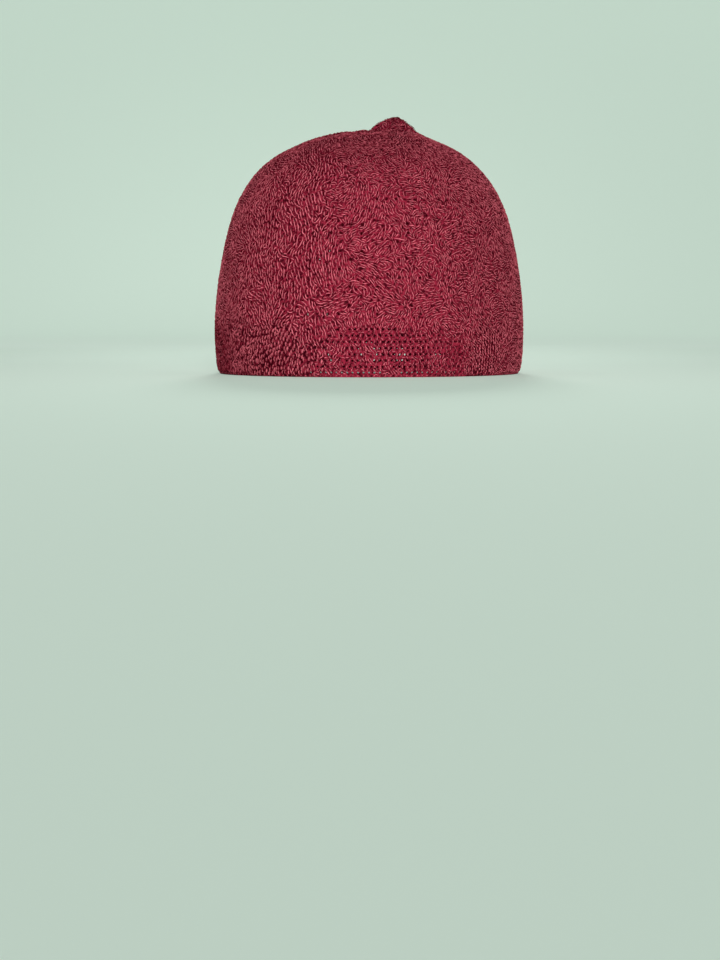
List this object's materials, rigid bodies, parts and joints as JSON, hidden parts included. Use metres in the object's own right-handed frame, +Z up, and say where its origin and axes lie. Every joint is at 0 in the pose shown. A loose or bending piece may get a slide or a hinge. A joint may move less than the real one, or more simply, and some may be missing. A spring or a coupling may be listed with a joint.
{
  "type": "prayer cap",
  "caption": "Brimless knitted prayer cap with a domed crown drawn together in a small gathered tip and a band of open rows at the rim; worn on the head.",
  "frame": {"origin": "centre of the rim's underside, where the cap rests", "axes": "+Z up towards the tip, -Y towards the front of the cap, +X to the viewer's right"},
  "size_m": [0.1572, 0.187, 0.1304],
  "materials": {
    "crown_knit": "matt wool knit with wavy wales",
    "band_knit": "matt wool knit with staggered rows of eyelets"
  },
  "bodies": {
    "root": {"crown": "crown_knit", "band": "band_knit"}
  },
  "joints": []
}
